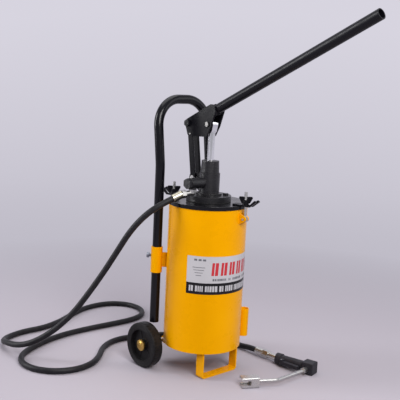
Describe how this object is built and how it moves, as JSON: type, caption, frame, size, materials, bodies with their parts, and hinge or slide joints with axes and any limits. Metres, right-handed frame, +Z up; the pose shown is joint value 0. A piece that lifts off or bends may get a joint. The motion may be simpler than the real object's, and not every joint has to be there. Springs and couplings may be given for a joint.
{
  "type": "hand-lever lubricant pump",
  "caption": "Bucket pump for gear oil on wheels, with a hand lever, a lift rod, a hose, and a gun with a bent nozzle.",
  "frame": {"origin": "centre of the foot strap's underside, on the floor", "axes": "+Z up, the lever and the foot to -Y, the wheels and the trolley handle to +Y, the delivery arm and the hose to -X"},
  "size_m": [0.6196, 1.0911, 0.9365],
  "materials": {
    "yellow_paint": "gloss enamel over welded sheet steel",
    "black_paint": "satin black enamel",
    "black_casting": "black enamel over a sand casting",
    "black_gun": "matte black coat on a die casting",
    "label_film": null,
    "hose_rubber": "wrapped black rubber hose",
    "seal_rubber": "moulded nitrile",
    "tyre_rubber": "solid black rubber with a moulded tread",
    "wheel_plastic": "moulded black plastic",
    "brassy_zinc": "yellow passivated zinc",
    "chromed_steel": "hard chrome, polished",
    "plain_steel": "plain turned steel",
    "zinc_plate": "bright zinc plate",
    "brass_metal": "machined brass"
  },
  "bodies": {
    "base": {"axle": "zinc_plate", "axle_bracket": "yellow_paint", "axle_washers": "zinc_plate", "check_spring": "plain_steel", "clamp_lugs": "yellow_paint", "coupler": "zinc_plate", "drum_bottom": "yellow_paint", "drum_rim": "yellow_paint", "drum_shell": "yellow_paint", "elbow_nut": "zinc_plate", "extension_pipe": "zinc_plate", "foot_strap": "yellow_paint", "foot_valve": "plain_steel", "gland_nut": "black_casting", "gland_packing": "seal_rubber", "gun_body": "black_gun", "gun_ferrule": "zinc_plate", "gun_swivel": "zinc_plate", "handle_sleeves": "yellow_paint", "head_bolts": "black_casting", "head_gasket": "seal_rubber", "hose": "hose_rubber", "hose_ferrule": "zinc_plate", "hub_caps": "brassy_zinc", "label": "label_film", "lid": "black_paint", "lid_ears": "black_paint", "lid_gasket": "seal_rubber", "lug_pins": "zinc_plate", "nozzle_holder": "yellow_paint", "outlet_elbow": "zinc_plate", "pipe_nut": "zinc_plate", "pump_head": "black_casting", "pump_tube": "plain_steel", "sleeve_brackets": "yellow_paint", "sleeve_screws": "zinc_plate", "strainer": "zinc_plate", "swing_bolts": "zinc_plate", "swivel_nut": "zinc_plate", "trigger_pin": "zinc_plate", "valve_plug": "black_casting"},
    "plunger": {"piston_rod": "chromed_steel", "piston": "brass_metal", "piston_cups": "seal_rubber"},
    "lever": {"lever_head": "black_paint", "lever_tube": "black_paint", "rod_pin": "zinc_plate", "link_top_bolt": "zinc_plate"},
    "links": {"link_plates": "black_paint", "link_foot_pin": "zinc_plate"},
    "wheel_left_body": {"tyre_left": "tyre_rubber", "wheel_left": "wheel_plastic"},
    "wheel_right_body": {"tyre_right": "tyre_rubber", "wheel_right": "wheel_plastic"},
    "wing_nut_front_body": {"wing_nut_front": "black_paint"},
    "wing_nut_rear_body": {"wing_nut_rear": "black_paint"},
    "handle": {"trolley_handle": "black_paint"},
    "trigger_body": {"trigger": "black_gun"},
    "foot_ball": {"foot_valve_ball": "plain_steel"},
    "outlet_ball": {"check_ball": "plain_steel"}
  },
  "joints": [
    {"name": "lever_swing", "type": "hinge", "parent": "plunger", "child": "lever", "pos_m": [0, 0.063, 0.658], "axis": [-1, 0, 0], "range_deg": [-40, 10]},
    {"name": "plunger_slide", "type": "slide", "parent": "base", "child": "plunger", "axis": [0, 0, 1], "range_m": [-0.0482, 0.0122]},
    {"name": "link_swing", "type": "hinge", "parent": "lever", "child": "links", "pos_m": [0, 0.138, 0.656], "axis": [-1, 0, 0], "range_deg": [-9, 36]},
    {"name": "wheel_left_turn", "type": "hinge", "parent": "base", "child": "wheel_left_body", "pos_m": [-0.125, 0.153, 0.0606], "axis": [1, 0, 0], "continuous": true},
    {"name": "wheel_right_turn", "type": "hinge", "parent": "base", "child": "wheel_right_body", "pos_m": [0.125, 0.153, 0.0606], "axis": [1, 0, 0], "continuous": true},
    {"name": "wing_nut_front_turn", "type": "hinge", "parent": "base", "child": "wing_nut_front_body", "pos_m": [0.02391, -0.04949, 0.462], "axis": [0, 0, 1], "continuous": true},
    {"name": "wing_nut_rear_turn", "type": "hinge", "parent": "base", "child": "wing_nut_rear_body", "pos_m": [-0.02391, 0.17549, 0.462], "axis": [0, 0, 1], "continuous": true},
    {"name": "handle_slide", "type": "slide", "parent": "base", "child": "handle", "axis": [0, 0, 1], "range_m": [-0.04, 0.11]},
    {"name": "trigger_press", "type": "hinge", "parent": "base", "child": "trigger_body", "pos_m": [0.1703, -0.07938, 0.0168], "axis": [0, 0, 1], "range_deg": [0, 7], "stiffness_Nm_per_rad": 0.8, "springref_deg": -17.19},
    {"name": "foot_ball_lift", "type": "slide", "parent": "base", "child": "foot_ball", "axis": [0, 0, 1], "range_m": [0, 0.005]},
    {"name": "outlet_ball_lift", "type": "slide", "parent": "base", "child": "outlet_ball", "axis": [-1, 0, 0], "range_m": [0, 0.002], "stiffness_N_per_m": 300, "springref_m": -0.003, "deforming": ["check_spring"]}
  ],
  "couplings": [
    {"joint": "plunger_slide", "follows": "lever_swing", "m_per_rad": 0.0686},
    {"joint": "link_swing", "follows": "lever_swing", "ratio": -0.883}
  ]
}
